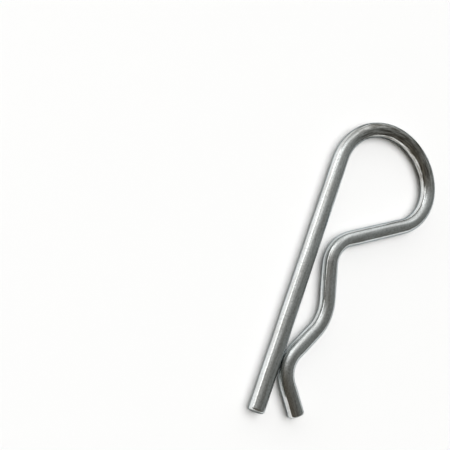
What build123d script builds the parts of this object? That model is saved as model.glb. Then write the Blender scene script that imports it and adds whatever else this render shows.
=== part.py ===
"""Hitch pin clip: one spring wire bent flat into a straight leg, an eye and a wavy leg.

Lengths are in millimetres. The clip lies on its side on the table: Z is up, X runs along the
straight leg from its free end towards the eye, and the wavy leg is on the -Y side of it. The
origin is the middle of the clip's outline, on the table.
"""
from build123d import *
import math
import os

# ---- wire -----------------------------------------------------------------------------------
wire_diameter = 3.175     # 1/8 in spring wire, the standard wire of this size of clip
end_rounding = 0.40       # worn rim left where the wire is sheared to length

# ---- straight leg, which goes through the cross hole of the shaft ---------------------------
leg_length = 53.1         # free end to the start of the eye

# ---- eye: a wide crown and a tighter shoulder that leads into the wavy leg ------------------
crown_radius = 11.43      # wire centre line
crown_turn = 157.0        # degrees
shoulder_radius = 9.08    # wire centre line

# ---- wavy leg, which snaps over the shaft ---------------------------------------------------
slant_angle = 54.4        # degrees to the straight leg, from the eye down to the neck
neck_radius = 6.26        # wire centre line
neck_gap = 1.83           # open space between the two legs at the neck
rise_angle = 15.5         # degrees, from the neck up to the bow
bow_radius = 9.46         # wire centre line
bow_gap = 4.26            # open space between the two legs at the bow
fall_angle = 26.5         # degrees, from the bow down to the pinch
pinch_radius = 5.91       # wire centre line
pinch_gap = 0.06          # the legs all but touch here when the clip is free
flare_angle = 39.5        # degrees, the lead-in that lets the clip ride up over a shaft
flare_length = 6.14       # straight part of the lead-in


def sagitta(radius, degrees):
    """Height an arc gains while it turns from level to a slope of the given angle."""
    return radius * (1 - math.cos(math.radians(degrees)))


def run_between(height, sagittas, degrees):
    """Length of the straight wire that makes up the rest of a change of height."""
    return (height - sagittas) / math.sin(math.radians(degrees))


# Heights of the wire centre above the centre of the straight leg. The eye ends at the slant
# angle, half a turn past the direction of the straight leg.
shoulder_turn = 180 + slant_angle - crown_turn
crown_height = sagitta(crown_radius, crown_turn)
eye_end_height = crown_height + shoulder_radius * (
    math.cos(math.radians(crown_turn)) - math.cos(math.radians(180 + slant_angle)))
neck_height = wire_diameter + neck_gap
bow_height = wire_diameter + bow_gap
pinch_height = wire_diameter + pinch_gap

slant_length = run_between(
    eye_end_height - neck_height, sagitta(neck_radius, slant_angle), slant_angle)
rise_length = run_between(
    bow_height - neck_height,
    sagitta(neck_radius, rise_angle) + sagitta(bow_radius, rise_angle), rise_angle)
fall_length = run_between(
    bow_height - pinch_height,
    sagitta(bow_radius, fall_angle) + sagitta(pinch_radius, fall_angle), fall_angle)

# Centre line as (straight length) or (bend radius, turn) steps. A negative turn is to the
# right, which is how the eye and the bow bend. The neck and the pinch bend to the left.
steps = [
    leg_length,
    (crown_radius, -crown_turn),
    (shoulder_radius, -shoulder_turn),
    slant_length,
    (neck_radius, slant_angle + rise_angle),
    rise_length,
    (bow_radius, -(rise_angle + fall_angle)),
    fall_length,
    (pinch_radius, fall_angle + flare_angle),
    flare_length,
]

point = Vector(0, 0, 0)
heading = 0.0
edges = []
for step in steps:
    if isinstance(step, tuple):
        radius, turn = step
        side = math.copysign(90, turn)
        to_centre = Vector(radius, 0, 0).rotate(Axis.Z, heading + side)
        centre = point + to_centre
        middle = centre - to_centre.rotate(Axis.Z, turn / 2)
        end = centre - to_centre.rotate(Axis.Z, turn)
        edges.append(ThreePointArc(point, middle, end))
        heading += turn
    else:
        end = point + Vector(step, 0, 0).rotate(Axis.Z, heading)
        edges.append(Line(point, end))
    point = end

# ---- one round wire along the centre line, its two sheared ends a little rounded ------------
centre_line = Wire(edges)
section = Plane(origin=(0, 0, 0), x_dir=(0, 1, 0), z_dir=(1, 0, 0)) * Circle(wire_diameter / 2)
spring_wire = sweep(section, path=centre_line)
end_rims = [
    rim for rim in spring_wire.edges().filter_by(GeomType.CIRCLE)
    if min((rim.arc_center - tip).length for tip in (Vector(0, 0, 0), point)) < end_rounding
]
spring_wire = fillet(end_rims, end_rounding)

# The centre line was drawn from the straight leg's free end. The clip lies on the table, with
# the middle of its outline at the origin.
middle_of_outline = spring_wire.bounding_box().center()
spring_wire = Pos(-middle_of_outline.X, -middle_of_outline.Y, wire_diameter / 2) * spring_wire

os.makedirs("parts", exist_ok=True)
export_step(spring_wire, "parts/spring_wire.step")
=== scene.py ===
# %% [markdown]
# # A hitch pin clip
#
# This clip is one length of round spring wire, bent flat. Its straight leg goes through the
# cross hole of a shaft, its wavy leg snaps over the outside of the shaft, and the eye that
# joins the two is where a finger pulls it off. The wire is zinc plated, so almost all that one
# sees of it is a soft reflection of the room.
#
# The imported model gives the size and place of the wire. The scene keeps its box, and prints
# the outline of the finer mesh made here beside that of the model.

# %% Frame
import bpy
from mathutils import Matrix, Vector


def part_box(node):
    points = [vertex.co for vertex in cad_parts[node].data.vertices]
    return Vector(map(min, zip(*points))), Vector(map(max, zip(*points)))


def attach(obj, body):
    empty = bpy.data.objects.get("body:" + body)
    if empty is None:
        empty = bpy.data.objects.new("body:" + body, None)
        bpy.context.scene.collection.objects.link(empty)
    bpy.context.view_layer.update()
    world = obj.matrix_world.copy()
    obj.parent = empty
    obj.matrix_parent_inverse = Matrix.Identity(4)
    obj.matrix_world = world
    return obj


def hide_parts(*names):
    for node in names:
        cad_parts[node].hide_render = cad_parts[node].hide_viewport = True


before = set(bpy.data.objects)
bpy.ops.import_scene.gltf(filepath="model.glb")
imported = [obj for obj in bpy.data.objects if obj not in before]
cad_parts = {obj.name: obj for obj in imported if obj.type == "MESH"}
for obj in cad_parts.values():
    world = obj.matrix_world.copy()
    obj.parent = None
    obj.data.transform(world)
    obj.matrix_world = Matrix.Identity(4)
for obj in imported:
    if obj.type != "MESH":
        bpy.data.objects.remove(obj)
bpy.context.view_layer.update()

import math

import bpy
import numpy as np
from mathutils import Matrix, Vector

MM = 0.001
low, high = (np.array(corner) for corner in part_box("spring_wire"))
wire_radius = (high[2] - low[2]) / 2
print("outline in mm:", np.round((high - low) / MM, 2))
print("wire diameter in mm:", round(2 * wire_radius / MM, 3))


# %% [markdown]
# ## The bends
#
# A wire former feeds wire and bends it round pins, so the true shape is a chain of straight runs
# and arcs. A Bezier curve could be pulled into this shape by hand, but its bends would not be
# round. Here the chain is exact: each step has a start point, a heading and a curvature, and a
# point at any distance along the wire follows from those of the step that it is in.

# %% Sizes of the bends
leg_length = 53.1 * MM
crown_radius, crown_turn = 11.43 * MM, math.radians(157.0)
shoulder_radius = 9.08 * MM
slant_angle = math.radians(54.4)
neck_radius, neck_gap = 6.26 * MM, 1.83 * MM
rise_angle = math.radians(15.5)
bow_radius, bow_gap = 9.46 * MM, 4.26 * MM
fall_angle = math.radians(26.5)
pinch_radius, pinch_gap = 5.91 * MM, 0.06 * MM
flare_angle, flare_length = math.radians(39.5), 6.14 * MM
print("inside of the eye in mm:", round(2 * (crown_radius - wire_radius) / MM, 1), "across")


# %% Runs between the bends
def sagitta(radius, angle):
    """Height that an arc gains while it turns from level to a slope of the given angle."""
    return radius * (1 - math.cos(angle))


def straight_between(height, height_in_arcs, angle):
    """Length of the sloping straight wire that makes up the rest of a change of height."""
    return (height - height_in_arcs) / math.sin(angle)


shoulder_turn = math.pi + slant_angle - crown_turn
eye_end_height = sagitta(crown_radius, crown_turn) + shoulder_radius * (
    math.cos(crown_turn) - math.cos(math.pi + slant_angle))
slant_length = straight_between(
    eye_end_height - 2 * wire_radius - neck_gap, sagitta(neck_radius, slant_angle), slant_angle)
rise_length = straight_between(
    bow_gap - neck_gap, sagitta(neck_radius + bow_radius, rise_angle), rise_angle)
fall_length = straight_between(
    bow_gap - pinch_gap, sagitta(bow_radius + pinch_radius, fall_angle), fall_angle)
print("straight runs in mm:", np.round(np.array([slant_length, rise_length, fall_length]) / MM, 2))

# %% Steps along the wire
# Each step is (length, turn): the eye and the bow bend one way, the neck and the pinch the other.
steps = np.array([
    (leg_length, 0),
    (crown_radius * crown_turn, -crown_turn),
    (shoulder_radius * shoulder_turn, -shoulder_turn),
    (slant_length, 0),
    (neck_radius * (slant_angle + rise_angle), slant_angle + rise_angle),
    (rise_length, 0),
    (bow_radius * (rise_angle + fall_angle), -rise_angle - fall_angle),
    (fall_length, 0),
    (pinch_radius * (fall_angle + flare_angle), fall_angle + flare_angle),
    (flare_length, 0),
])
step_length, step_turn = steps.T
curvature = step_turn / step_length
step_start = np.concatenate([[0], np.cumsum(step_length)])
step_heading = np.concatenate([[0], np.cumsum(step_turn)])
wire_length = step_start[-1]
crown_end, flare_start = step_start[2], step_start[9]
print("wire length in mm:", round(wire_length / MM, 1))


# %% Centre line
def advance(heading, bend, distance):
    """Move along an arc: the chord is the distance times sinc of half the turn, at mid heading."""
    half_turn = bend * distance / 2
    chord = distance * np.sinc(half_turn / np.pi)
    return chord * np.cos(heading + half_turn), chord * np.sin(heading + half_turn)


hop_x, hop_y = advance(step_heading[:-1], curvature, step_length)
step_x = np.concatenate([[0], np.cumsum(hop_x)])
step_y = np.concatenate([[0], np.cumsum(hop_y)])


def centre_line(along):
    """Points, headings and curvatures of the centre line, at distances along it.

    Each is that of the step's start, moved on by the distance that is left within the step.
    """
    i = np.clip(np.searchsorted(step_start, along, side="right") - 1, 0, len(steps) - 1)
    x, y = advance(step_heading[i], curvature[i], along - step_start[i])
    heading = step_heading[i] + curvature[i] * (along - step_start[i])
    return step_x[i] + x, step_y[i] + y, heading, curvature[i]


print("end of the wavy leg in mm:", round(step_x[-1] / MM, 2), round(step_y[-1] / MM, 2))

# %% [markdown]
# ## The wire
#
# A curve object with a round bevel would give a plain tube. Real wire is a little less plain. It
# is oval in its tight bends, because the pin squeezes it, and each end has the marks of the
# shear that cut it: a rolled-over rim, a face that leans, and a low ridge where the steel tore.
# So the surface is worked out here as one grid, with the distance along the wire one way and
# the angle round it the other, and the last rings of the grid close in over the cut faces.

# %% Section and ends
ring_points = 72
ring_spacing = 0.17 * MM
rim_radius = 0.50 * MM       # the rolled-over rim of a sheared end
rim_rings = 10
face_rings = 9


def end_rings():
    """Depth below the cut and radius of the rings of an end.

    The face is flat from its middle out to the rim, and the rim is a quarter round.
    """
    face = np.linspace(0, wire_radius - rim_radius, face_rings, endpoint=False)
    turn = np.linspace(0, np.pi / 2, rim_rings, endpoint=False)
    depth = np.concatenate([np.zeros(face_rings), rim_radius * (1 - np.cos(turn))])
    reach = np.concatenate([face, wire_radius - rim_radius + rim_radius * np.sin(turn)])
    return depth, reach


depth, reach = end_rings()
body = np.linspace(rim_radius, wire_length - rim_radius, int(wire_length / ring_spacing))
along = np.concatenate([depth, body, wire_length - depth[::-1]])
radius = np.concatenate([reach, np.full(len(body), wire_radius), reach[::-1]])
round_wire = np.linspace(0, 2 * np.pi, ring_points, endpoint=False)
print("rings:", len(along), "points in each:", ring_points)

# %% Marks of the tools
shear_lean = math.radians(3.5)
tear_ridge = 0.05 * MM
ridge_drop, ridge_width = 0.35, 0.25    # below the middle and half width, of the radius
squeeze = 0.045                         # of the radius, in the tightest bend
hollow_depth = 0.014 * MM    # the long shallow hollows and flats that rollers and dies leave


def ease(values):
    """Smoothstep: 3t^2 - 2t^3 of values held between 0 and 1."""
    t = np.clip(values, 0, 1)
    return t * t * (3 - 2 * t)


def smooth_bend(along, blend=1.2 * MM):
    """Curvature without its jumps, as the mean over a short length of wire on each side."""
    shifted = [np.clip(along + shift, 0, wire_length) for shift in np.linspace(-blend, blend, 13)]
    return np.mean([centre_line(place)[3] for place in shifted], axis=0)


def unevenness(along, angle, waves=24, seed=7):
    """Shallow hollows, 0 to 1: summed sine waves, 9 to 45 mm along the wire and 1 to 9 round it."""
    rng = np.random.default_rng(seed)
    per_metre = 2 * np.pi / (rng.uniform(9.0, 45.0, waves) * MM)
    round_it = rng.integers(1, 10, waves)
    phase = rng.uniform(0, 2 * np.pi, waves)
    angles = along[:, None, None] * per_metre + angle[None, :, None] * round_it + phase
    return 0.5 + 0.5 * np.tanh(np.sin(angles).sum(axis=2) / math.sqrt(waves))


print("tightest bend in mm:", round(1 / np.abs(smooth_bend(along)).max() / MM, 2))


# %% Surface
def wire_surface(along, radius, angle):
    """A ring of the given radius about each point of the centre line.

    The ring's height is radius * cos(angle), and its reach to the side is radius * sin(angle).
    In a bend the side is pressed in, in proportion to the curvature. Near an end, the points
    move along the wire: by the lean of the cut, and by the ridge across the face.
    """
    x, y, heading, _ = centre_line(along)
    bend = np.abs(smooth_bend(along)) * pinch_radius
    uneven = radius[:, None] * (1 - hollow_depth / wire_radius * unevenness(along, angle))
    side = uneven * (1 - squeeze * bend)[:, None] * np.sin(angle)
    up = uneven * np.cos(angle)
    near_start = 1 - ease(along / (2 * wire_radius))
    near_end = 1 - ease((wire_length - along) / (2 * wire_radius))
    lean = math.tan(shear_lean) * (up + wire_radius)
    off_ridge = (up + ridge_drop * wire_radius) / (ridge_width * wire_radius)
    ridge = tear_ridge * np.exp(-(off_ridge ** 2))
    on_face = (1 - ease((radius / wire_radius - 0.6) / 0.3))[:, None]
    shift = (near_start - near_end)[:, None] * (lean - ridge * on_face)
    shift_x, shift_y = shift * np.cos(heading)[:, None], shift * np.sin(heading)[:, None]
    points = np.stack([
        x[:, None] - side * np.sin(heading)[:, None] + shift_x,
        y[:, None] + side * np.cos(heading)[:, None] + shift_y,
        up + wire_radius,
    ], axis=-1)
    return points + [low[0], high[1] - wire_radius, low[2]]


grid = wire_surface(along, radius, round_wire)
print("outline of the surface in mm:", np.round((grid.max((0, 1)) - grid.min((0, 1))) / MM, 2))


# %% Mesh
def tube_uv(along, angle):
    """UV of each face's corners in metres: the distance along the wire, and the arc round it."""
    k = np.arange(len(angle))
    arc = np.append(angle, 2 * np.pi) * wire_radius
    u_quad = np.stack([along[1:-2], along[2:-1], along[2:-1], along[1:-2]], axis=-1)
    v_quad = np.stack([arc[k], arc[k], arc[k + 1], arc[k + 1]], axis=-1)
    quads = np.stack(np.broadcast_arrays(u_quad[:, None], v_quad[None]), axis=-1)
    middle = (arc[k] + arc[k + 1]) / 2
    start_v = np.stack([middle, arc[k], arc[k + 1]], axis=-1)
    end_v = np.stack([middle, arc[k + 1], arc[k]], axis=-1)
    start = np.stack([np.full_like(start_v, along[0]), start_v], axis=-1)
    end = np.stack([np.full_like(end_v, along[-1]), end_v], axis=-1)
    return np.concatenate([part.reshape(-1, 2) for part in (start, quads, end)])


def closed_tube(name, grid, along, angle):
    """A mesh from a grid of rings whose first and last rings have no radius: each is one pole.

    Quads join each ring to the next, and triangles join the poles.
    """
    rings, points = grid.shape[:2]
    vertices = np.concatenate([grid[:1, 0], grid[1:-1].reshape(-1, 3), grid[-1:, 0]])
    k = np.arange(points)
    after = (k + 1) % points
    row = 1 + np.arange(rings - 3)[:, None] * points
    quads = np.stack([row + k, row + points + k, row + points + after, row + after], axis=-1)
    last, end_row = len(vertices) - 1, len(vertices) - 1 - points
    start_fan = np.stack([np.zeros_like(k), 1 + k, 1 + after], axis=-1)
    end_fan = np.stack([np.full_like(k, last), end_row + after, end_row + k], axis=-1)
    faces = start_fan.tolist() + quads.reshape(-1, 4).tolist() + end_fan.tolist()
    mesh = bpy.data.meshes.new(name)
    mesh.from_pydata(vertices.tolist(), [], faces)
    mesh.uv_layers.new(name="along_wire").data.foreach_set("uv", tube_uv(along, angle).ravel())
    mesh.shade_smooth()
    return mesh


wire_mesh = closed_tube("hitch_pin_wire", grid, along, round_wire)
clip = bpy.data.objects.new("hitch_pin_wire", wire_mesh)
bpy.context.scene.collection.objects.link(clip)
print("triangles:", 2 * (len(along) - 3) * ring_points + 2 * ring_points)


# %% [markdown]
# ## Where the finish changes
#
# The plating is streaked where the bending stretched it most, on the crown of the eye and a
# little at the flared end, and the same places are darkened with painted shade. The faces of the
# two cuts are rougher than the rest. Such places could be painted on by hand. Here they follow
# from the distance along the wire and the radius of the ring, and each is kept on the points as
# an attribute that the material reads, so it stays in place if a size changes.

# %% Streaks, painted shade and cut places
def per_point(ring_values, start, end):
    """A value for each point of the tube: its ring's own, and one for each pole."""
    return np.concatenate([[start], np.repeat(ring_values, ring_points), [end]])


crown_fade_in, crown_fade_out, flare_fade = 11 * MM, 7 * MM, 5 * MM
flare_share = 0.35           # the flared end gets less of the streaks and painted shade than the eye
inner = along[1:-1]
into_crown = ease((inner - leg_length) / crown_fade_in)
before_crown_end = ease((crown_end - inner) / crown_fade_out + 0.5)
on_flare = ease((inner - flare_start) / flare_fade + 0.8)
# streaks and painted shade: full on the crown of the eye, and a share of both on the flared end
streaks_and_painted_shade = np.maximum(into_crown * before_crown_end, flare_share * on_flare)
cut = 1 - ease((radius[1:-1] / wire_radius - 0.75) / 0.2)
for name, values in (
    ("streaks_and_painted_shade", per_point(streaks_and_painted_shade, 0, streaks_and_painted_shade[-1])),
    ("cut", per_point(cut, 1, 1)),
):
    wire_mesh.attributes.new(name, "FLOAT", "POINT").data.foreach_set("value", values)
print("stretched share of the wire:", round(float(np.mean(streaks_and_painted_shade > 0.5)), 2))

# %% [markdown]
# ## Bright zinc on drawn steel
#
# The wire is drawn through dies, which leave fine marks along it, then bent, then barrel plated
# with zinc and dipped in a clear chromate. The plating is a pale grey metal, bright but not
# quite a mirror: a roughness of 0.10, and 0.20 in its dull patches. Tumbling in the barrel
# leaves specks and nicks. The eye, bent furthest, has brownish streaks in its plating, and its
# colour there is darker still as painted shade. The cut ends are torn steel under their zinc, so
# they are rough and dull. At a glancing angle the thin chromate film turns the reflection a
# darker blue-green, and this tint is dark enough to paint shade along the edges of the wire.
#
# A picture of scratched metal could be wrapped on, but noise drawn out along the wire's own UV
# map gives marks that follow each bend and stay sharp at any distance.

# %% Colours and nodes
def srgb(code):
    """Linear colour of an sRGB hex code: each channel c becomes ((c + 0.055) / 1.055) ** 2.4."""
    channels = [int(code[i:i + 2], 16) / 255 for i in (1, 3, 5)]
    return [c / 12.92 if c <= 0.04045 else ((c + 0.055) / 1.055) ** 2.4 for c in channels] + [1.0]


def add_node(tree, kind, settings=None, **links):
    """Add a node, set its properties, and set its sockets or link them where a socket is given.

    A socket goes by its name, with _ for a space, or by its number, as in i0.
    """
    node = tree.nodes.new(kind)
    for name, value in (settings or {}).items():
        setattr(node, name, value)
    for name, value in links.items():
        key = int(name[1:]) if name[0] == "i" and name[1:].isdigit() else name.replace("_", " ")
        socket = node.inputs[key]
        if isinstance(value, bpy.types.NodeSocket):
            tree.links.new(value, socket)
        else:
            socket.default_value = value
    return node


print("light zinc, linear:", np.round(srgb("#eff3f3")[:3], 3))


# %% Patterns on the wire
def marks_along_wire(tree, mark_length, mark_width, detail=2.0, roughness=0.6):
    """Noise drawn out along the wire: the UV map in metres, over the length and width of a mark."""
    uv = add_node(tree, "ShaderNodeUVMap", {"uv_map": "along_wire"}).outputs["UV"]
    drawn_out = add_node(tree, "ShaderNodeMapping", Vector=uv,
                         Scale=(1 / mark_length, 1 / mark_width, 1.0))
    return add_node(tree, "ShaderNodeTexNoise", Vector=drawn_out.outputs["Vector"],
                    Scale=1.0, Detail=detail, Roughness=roughness).outputs["Fac"]


def wire_patterns(tree):
    """The patterns that colour, roughness and relief share, each from 0 to 1, by name."""
    place = add_node(tree, "ShaderNodeTexCoord").outputs["Object"]
    grain = add_node(tree, "ShaderNodeTexNoise", Vector=place, Scale=1 / (0.3 * MM),
                     Detail=2.0, Roughness=0.7)
    cells = add_node(tree, "ShaderNodeTexVoronoi", Vector=place, Scale=1 / (0.8 * MM))
    patterns = {name: add_node(tree, "ShaderNodeAttribute", {"attribute_name": name}).outputs["Fac"]
                for name in ("streaks_and_painted_shade", "cut")}
    patterns.update({
        # draw marks: real ones are 0.02 mm apart, drawn coarser so that they show
        "fine_marks": marks_along_wire(tree, 2.5 * MM, 0.16 * MM),
        "broad_marks": marks_along_wire(tree, 7.0 * MM, 0.42 * MM),
        "patches": marks_along_wire(tree, 6.0 * MM, 0.7 * MM, roughness=0.55),
        "stretch_marks": marks_along_wire(tree, 3.5 * MM, 0.42 * MM, detail=3.0, roughness=0.7),
        "grain": grain.outputs["Fac"],
        "from_cell": cells.outputs["Distance"],
    })
    return patterns


# %% Colour of the plating
def zinc_colour(tree, patterns):
    """Pale grey in patches, brown streaks with painted shade on the eye, specked all over, and torn
    on cuts.

    Each tone is a ramp between two colours over a pattern, and the places mix the tones.
    """
    tones = {}
    for name, pattern, stops in (
        ("zinc", "patches", ((0.30, "#dbdcda"), (0.62, "#eff3f3"))),
        # this tone is brown streaks, made dark overall as painted shade on the eye
        ("streak_tone_with_painted_shade", "stretch_marks", ((0.38, "#79746b"), (0.60, "#e6e6e3"))),
        ("torn", "grain", ((0.35, "#8b8984"), (0.65, "#cccbc7"))),
    ):
        ramp = add_node(tree, "ShaderNodeValToRGB", Fac=patterns[pattern])
        for element, (position, code) in zip(ramp.color_ramp.elements, stops):
            element.position, element.color = position, srgb(code)
        tones[name] = ramp.outputs["Color"]
    plated = add_node(tree, "ShaderNodeMix", {"data_type": "RGBA"},
                      i0=patterns["streaks_and_painted_shade"], i6=tones["zinc"], i7=tones["streak_tone_with_painted_shade"])
    speck = add_node(tree, "ShaderNodeMapRange", Value=patterns["grain"],
                     i1=0.36, i2=0.54, i3=0.80, i4=1.0)
    specked = add_node(tree, "ShaderNodeMix", {"data_type": "RGBA", "blend_type": "MULTIPLY"},
                       i0=1.0, i6=plated.outputs[2], i7=speck.outputs["Result"])
    return add_node(tree, "ShaderNodeMix", {"data_type": "RGBA"},
                    i0=patterns["cut"], i6=specked.outputs[2], i7=tones["torn"]).outputs[2]


# %% Relief of the plating
def zinc_relief(tree, patterns):
    """Bump from a sum of heights.

    It is the fine marks, plus the grain, which is deeper on the cuts, plus the broad marks,
    which are deeper where stretched, less the nicks.
    """
    # clips knock together in the barrel: shallow nicks up to 0.6 mm across, in some cells only
    pit = add_node(tree, "ShaderNodeMapRange", Value=patterns["from_cell"],
                   i1=0.05, i2=0.36, i3=1.0, i4=0.0)
    chosen = add_node(tree, "ShaderNodeMapRange", Value=patterns["patches"], i1=0.50, i2=0.62)
    nicks = add_node(tree, "ShaderNodeMath", {"operation": "MULTIPLY"},
                     i0=pit.outputs["Result"], i1=chosen.outputs["Result"])
    tear = add_node(tree, "ShaderNodeMapRange", Value=patterns["cut"], i3=1.3, i4=7.0)
    streak = add_node(tree, "ShaderNodeMapRange", Value=patterns["streaks_and_painted_shade"], i3=1.5, i4=4.5)
    height = patterns["fine_marks"]
    for pattern, amount in (
        (patterns["grain"], tear.outputs["Result"]),
        (patterns["broad_marks"], streak.outputs["Result"]),
        (nicks.outputs["Value"], -2.0),
    ):
        height = add_node(tree, "ShaderNodeMath", {"operation": "MULTIPLY_ADD"},
                          i0=pattern, i1=amount, i2=height).outputs["Value"]
    bump = add_node(tree, "ShaderNodeBump", Strength=0.26, Distance=0.02 * MM, Height=height)
    return bump.outputs["Normal"]


# %% Zinc plating
def zinc_plated_wire():
    """Bright zinc plating on spring steel: a metal whose colour, roughness and bump all vary."""
    material = bpy.data.materials.new("bright_zinc_plated_spring_steel")
    material.use_nodes = True
    tree = material.node_tree
    tree.nodes.clear()
    patterns = wire_patterns(tree)
    dull = add_node(tree, "ShaderNodeMapRange", Value=patterns["patches"],
                    i1=0.35, i2=0.75, i3=0.10, i4=0.20)
    rough = add_node(tree, "ShaderNodeMath", {"operation": "MULTIPLY_ADD"},
                     i0=patterns["cut"], i1=0.25, i2=dull.outputs["Result"])
    # the specular tint is the chromate's blue-green, and dark enough to paint shade along the edges
    shader = add_node(tree, "ShaderNodeBsdfPrincipled", Base_Color=zinc_colour(tree, patterns),
                      Metallic=1.0, Roughness=rough.outputs["Value"],
                      Specular_Tint=srgb("#44606a"), Normal=zinc_relief(tree, patterns))
    add_node(tree, "ShaderNodeOutputMaterial", Surface=shader.outputs["BSDF"])
    return material


plating = zinc_plated_wire()
clip.data.materials.append(plating)
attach(clip, "root")
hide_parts("spring_wire")
print("nodes in the plating:", len(plating.node_tree.nodes))

# %% [markdown]
# ## Table, room and lamps
#
# Bare metal shows what stands round it, so the room matters as much as the material. Two large
# soft windows of light stand round one side, 30 degrees up, and give the long highlights. A low
# strip lights the inner side of the eye. The rest of the room is dim and a little warm, which
# gives the darker upper face. A wide high lamp lights the white table and gives the soft
# shadow, and it is left out of reflections, so that no glare runs along the top of the wire.
#
# A picture of a real room could be wrapped round the scene. A few soft ramps over direction are
# used instead, because each can be moved and dimmed by itself.

# %% Table
scene = bpy.context.scene
scene.view_settings.view_transform = "Standard"
table_half = 5.0
corners = [(x, y, low[2]) for x, y in table_half * np.array([(-1, -1), (1, -1), (1, 1), (-1, 1)])]
table_mesh = bpy.data.meshes.new("table")
table_mesh.from_pydata(corners, [], [(0, 1, 2, 3)])
table = bpy.data.objects.new("table", table_mesh)
scene.collection.objects.link(table)
# matt paper has a soft, almost plain white, with no glare and no image of the clip in it
paper = bpy.data.materials.new("matt_white_paper")
paper.use_nodes = True
paper_shader = paper.node_tree.nodes["Principled BSDF"]
paper_shader.inputs["Base Color"].default_value = srgb("#f6f6f6")
paper_shader.inputs["Roughness"].default_value = 0.9
paper_shader.inputs["Specular IOR Level"].default_value = 0.1
table_mesh.materials.append(paper)
print("table in m:", 2 * table_half, "square")


# %% Directions and walls
def compass(azimuth, elevation):
    """Unit vector at an angle round from +X and an angle up from the table, both in degrees."""
    a, e = math.radians(azimuth), math.radians(elevation)
    return Vector((math.cos(a) * math.cos(e), math.sin(a) * math.cos(e), math.sin(e)))


def add_wall(tree, look, direction, tones):
    """A glow that depends only on the angle from a direction.

    It is a ramp over half of one plus the angle's cosine, with the tones given by degrees.
    """
    cosine = add_node(tree, "ShaderNodeVectorMath", {"operation": "DOT_PRODUCT"},
                      i0=look, i1=direction)
    half = add_node(tree, "ShaderNodeMapRange", Value=cosine.outputs["Value"], i1=-1.0, i2=1.0)
    ramp = add_node(tree, "ShaderNodeValToRGB", Fac=half.outputs["Result"])
    for degrees, tone in tones.items():
        ramp.color_ramp.elements.new((math.cos(math.radians(degrees)) + 1) / 2).color = srgb(tone)
    ramp.color_ramp.elements.remove(ramp.color_ramp.elements[0])
    ramp.color_ramp.elements.remove(ramp.color_ramp.elements[-1])
    return ramp.outputs["Color"]


print("up:", tuple(round(part, 3) for part in compass(0, 90)))

# %% Room
dim_room = {180: "#5a554c", 90: "#63625e", 1: "#7f8281"}
soft_window = {60: "#000000", 50: "#303030", 40: "#595959",
               30: "#818181", 20: "#b5b5b5", 9: "#ffffff"}
windows = ((52, 31, 0.88), (2, 30, 0.62))    # azimuth, elevation and strength

world = bpy.data.worlds.new("studio")
scene.world = world
world.use_nodes = True
tree = world.node_tree
tree.nodes.clear()
look = add_node(tree, "ShaderNodeTexCoord").outputs["Generated"]
room = add_wall(tree, look, compass(-30, 5), dim_room)
glow = add_node(tree, "ShaderNodeBackground", Color=room, Strength=1.0).outputs["Background"]
for azimuth, elevation, strength in windows:
    window = add_wall(tree, look, compass(azimuth, elevation), soft_window)
    pane = add_node(tree, "ShaderNodeBackground", Color=window, Strength=strength)
    both = add_node(tree, "ShaderNodeAddShader", i0=glow, i1=pane.outputs["Background"])
    glow = both.outputs["Shader"]
add_node(tree, "ShaderNodeOutputWorld", Surface=glow)
print("windows:", len(windows))


# %% Lamps
def hang(lamp, direction, distance=0.6):
    """Hang a lamp in a direction from the clip, in metres, turned so that it shines at the clip."""
    holder = bpy.data.objects.new(lamp.name, lamp)
    holder.location = direction * distance
    holder.rotation_euler = direction.to_track_quat("Z", "Y").to_euler()
    scene.collection.objects.link(holder)
    return holder


low_strip = bpy.data.lights.new("low_strip", "AREA")
low_strip.shape, low_strip.size, low_strip.size_y = "RECTANGLE", 0.50, 0.20
low_strip.energy = 0.37
hang(low_strip, compass(76, 8))
high_lamp = bpy.data.lights.new("high_lamp", "SUN")
high_lamp.energy, high_lamp.angle = 2.5, math.radians(60)
hang(high_lamp, compass(-40, 78)).visible_glossy = False
print("lamps:", low_strip.name, low_strip.energy, "W,", high_lamp.name, high_lamp.energy, "W/m2")

# %% [markdown]
# ## Camera
#
# The clip lies flat and the camera looks down on it from above its free end, rolled so that the
# straight leg climbs to the upper right. The lens is a short telephoto for this distance. A
# camera could be aimed with a tracking constraint, but its roll would then need a target of its
# own, so its three axes are written out.

# %% Camera
camera_data = bpy.data.cameras.new("camera")
camera_data.lens, camera_data.sensor_width = 57.2, 36.0
camera_data.clip_start = 0.01
camera = bpy.data.objects.new("camera", camera_data)
scene.collection.objects.link(camera)
scene.camera = camera
leg_tip = Vector((low[0], high[1] - wire_radius, low[2] + wire_radius))
from_tip = Vector((-7.54, 62.28, 119.88)) * MM
forward = Vector((0.27882, -0.33009, -0.90183)).normalized()
right = Vector((0.33804, -0.84524, 0.41389))
right = (right - forward * right.dot(forward)).normalized()
upward = right.cross(forward)
turn = Matrix((right, upward, -forward)).transposed().to_4x4()
camera.matrix_world = Matrix.Translation(leg_tip + from_tip) @ turn
print("camera to the leg's tip in mm:", round(from_tip.length / MM, 1))
